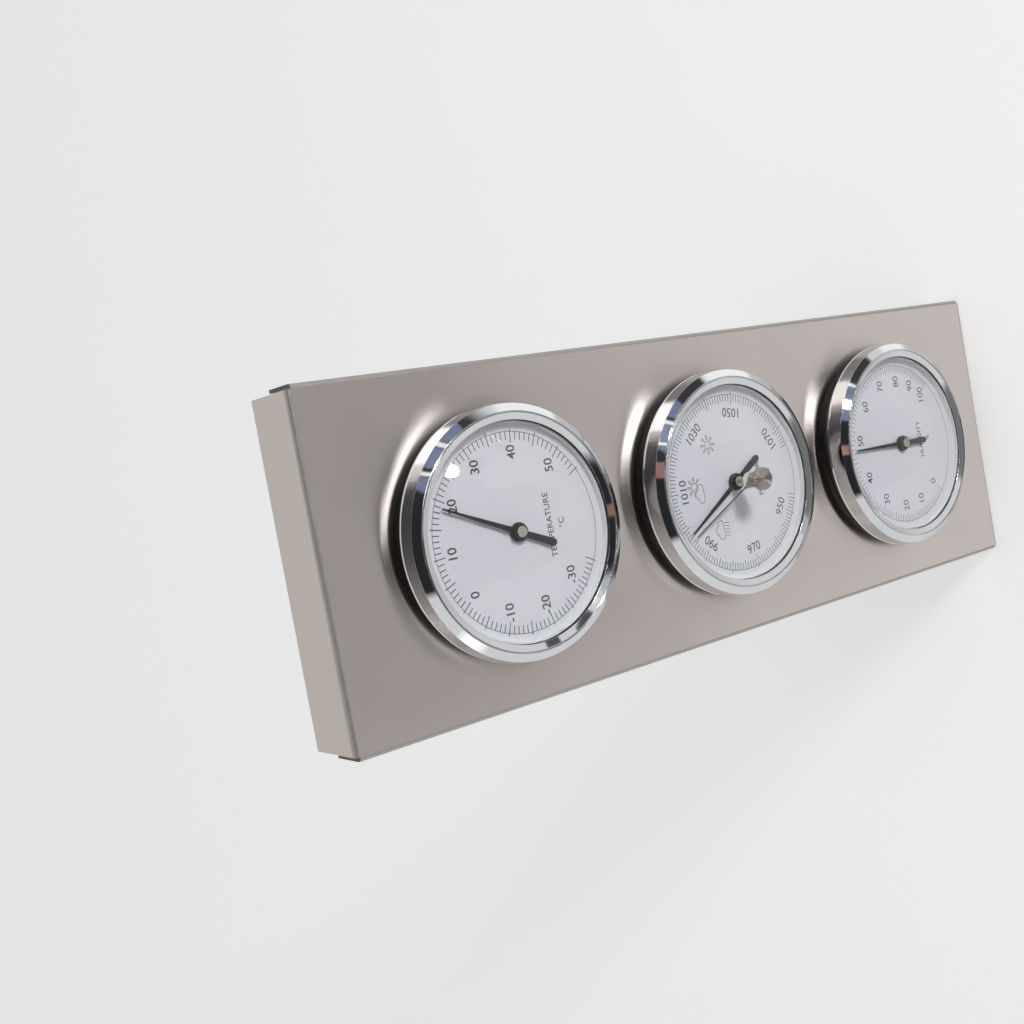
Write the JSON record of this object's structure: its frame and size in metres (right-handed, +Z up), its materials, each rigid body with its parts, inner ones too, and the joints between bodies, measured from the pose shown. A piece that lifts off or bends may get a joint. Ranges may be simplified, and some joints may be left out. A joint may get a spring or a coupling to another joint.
{
  "type": "wall weather station",
  "caption": "Wall weather station: thermometer, barometer and hygrometer dials in a row on a folded steel tray, with moving pointers, a set hand and working movements.",
  "frame": {"origin": "seat of the wall hook's shank at the top of the keyhole slot, on the wall plane at the back of the hanger plate", "axes": "+Z up along the row of dials with the thermometer at the top, dials face -Y, +X is to the right seen from the front"},
  "size_m": [0.1, 0.0404, 0.298],
  "materials": {
    "satin_steel": "satin brushed stainless sheet",
    "zinc_steel": "plain zinc-plated sheet",
    "black_case": "black moulded plastic",
    "dial_white": "white printed sheet",
    "ring_white": "white plastic",
    "lens_clear": "clear domed lens",
    "bezel_chrome": "polished chrome",
    "pointer_black": "black lacquered sheet",
    "bright_steel": "bright turned steel",
    "brass": "plain brass",
    "bimetal": "rolled bimetal strip",
    "humidity_strip": "coated metal strip",
    "capsule_metal": "nickel silver sheet",
    "knob_nickel": "turned nickel plate"
  },
  "bodies": {
    "station": {"panel_tray": "satin_steel", "hanger_plate": "zinc_steel", "thermometer_case": "black_case", "thermometer_clamp_ring": "black_case", "thermometer_dial": "dial_white", "thermometer_spacer_ring": "ring_white", "thermometer_lens": "lens_clear", "thermometer_bezel": "bezel_chrome", "barometer_case": "black_case", "barometer_clamp_ring": "black_case", "barometer_dial": "dial_white", "barometer_spacer_ring": "ring_white", "barometer_lens": "lens_clear", "barometer_bezel": "bezel_chrome", "hygrometer_case": "black_case", "hygrometer_clamp_ring": "black_case", "hygrometer_dial": "dial_white", "hygrometer_spacer_ring": "ring_white", "hygrometer_lens": "lens_clear", "hygrometer_bezel": "bezel_chrome", "thermometer_bridge": "brass", "hygrometer_bridge": "brass", "barometer_base_plate": "bright_steel", "barometer_rocker_bracket_left": "bright_steel", "barometer_rocker_bracket_right": "bright_steel", "barometer_sector_pin": "bright_steel", "barometer_top_plate": "brass", "barometer_pillar_1": "brass", "barometer_pillar_2": "brass", "barometer_pillar_3": "brass", "barometer_arbor_bridge": "brass", "barometer_hairspring": "brass", "barometer_hairspring_stud": "brass", "barometer_capsule": "capsule_metal"},
    "thermometer_hand": {"thermometer_pointer": "pointer_black", "thermometer_arbor": "bright_steel"},
    "thermometer_adjustment": {"thermometer_adjuster": "brass", "thermometer_coil_post": "brass", "thermometer_coil": "bimetal"},
    "barometer_hand": {"barometer_pointer": "pointer_black", "barometer_arbor": "bright_steel"},
    "barometer_sector": {"barometer_sector_gear": "brass"},
    "barometer_rocker": {"barometer_rocker_shaft": "bright_steel"},
    "barometer_capsule_lift": {"barometer_capsule_post": "brass"},
    "barometer_adjustment": {"barometer_adjusting_screw": "brass"},
    "set_hand_and_knob": {"set_knob": "knob_nickel", "set_knob_washer": "ring_white", "set_hand": "bright_steel"},
    "hygrometer_hand": {"hygrometer_pointer": "pointer_black", "hygrometer_arbor": "bright_steel"},
    "hygrometer_adjustment": {"hygrometer_adjuster": "brass", "hygrometer_coil_post": "brass", "hygrometer_coil": "humidity_strip"}
  },
  "joints": [
    {"name": "thermometer_pointer_turn", "type": "hinge", "parent": "station", "child": "thermometer_hand", "pos_m": [0, -0.0277, -0.0477], "axis": [0, 1, 0], "range_deg": [-178, 126.5]},
    {"name": "thermometer_adjuster_turn", "type": "hinge", "parent": "station", "child": "thermometer_adjustment", "pos_m": [0, -0.0035, -0.0477], "axis": [0, 1, 0], "range_deg": [-60, 60]},
    {"name": "barometer_pointer_turn", "type": "hinge", "parent": "station", "child": "barometer_hand", "pos_m": [0, -0.0277, -0.137], "axis": [0, 1, 0], "range_deg": [-132.5, 192.5]},
    {"name": "barometer_sector_swing", "type": "hinge", "parent": "station", "child": "barometer_sector", "pos_m": [0.0231, -0.0224, -0.1305], "axis": [0, 1, 0], "range_deg": [-39, 27]},
    {"name": "barometer_rocker_swing", "type": "hinge", "parent": "station", "child": "barometer_rocker", "pos_m": [0, -0.01415, -0.132], "axis": [1, 0, 0], "range_deg": [-8, 11.5]},
    {"name": "barometer_capsule_rise", "type": "slide", "parent": "station", "child": "barometer_capsule_lift", "axis": [0, 1, 0], "range_m": [-0.0007, 0.001]},
    {"name": "barometer_screw_turn", "type": "hinge", "parent": "station", "child": "barometer_adjustment", "pos_m": [0, -0.0035, -0.137], "axis": [0, 1, 0], "range_deg": [-360, 360]},
    {"name": "set_hand_turn", "type": "hinge", "parent": "station", "child": "set_hand_and_knob", "pos_m": [0, -0.035, -0.137], "axis": [0, 1, 0], "continuous": true},
    {"name": "hygrometer_pointer_turn", "type": "hinge", "parent": "station", "child": "hygrometer_hand", "pos_m": [0, -0.0277, -0.2263], "axis": [0, 1, 0], "range_deg": [-136, 133.5]},
    {"name": "hygrometer_adjuster_turn", "type": "hinge", "parent": "station", "child": "hygrometer_adjustment", "pos_m": [0, -0.0035, -0.2263], "axis": [0, 1, 0], "range_deg": [-60, 60]}
  ],
  "couplings": [
    {"joint": "barometer_sector_swing", "follows": "barometer_pointer_turn", "ratio": -0.2},
    {"joint": "barometer_rocker_swing", "follows": "barometer_pointer_turn", "ratio": 0.0591},
    {"joint": "barometer_capsule_rise", "follows": "barometer_pointer_turn", "m_per_rad": 0.0002955}
  ]
}
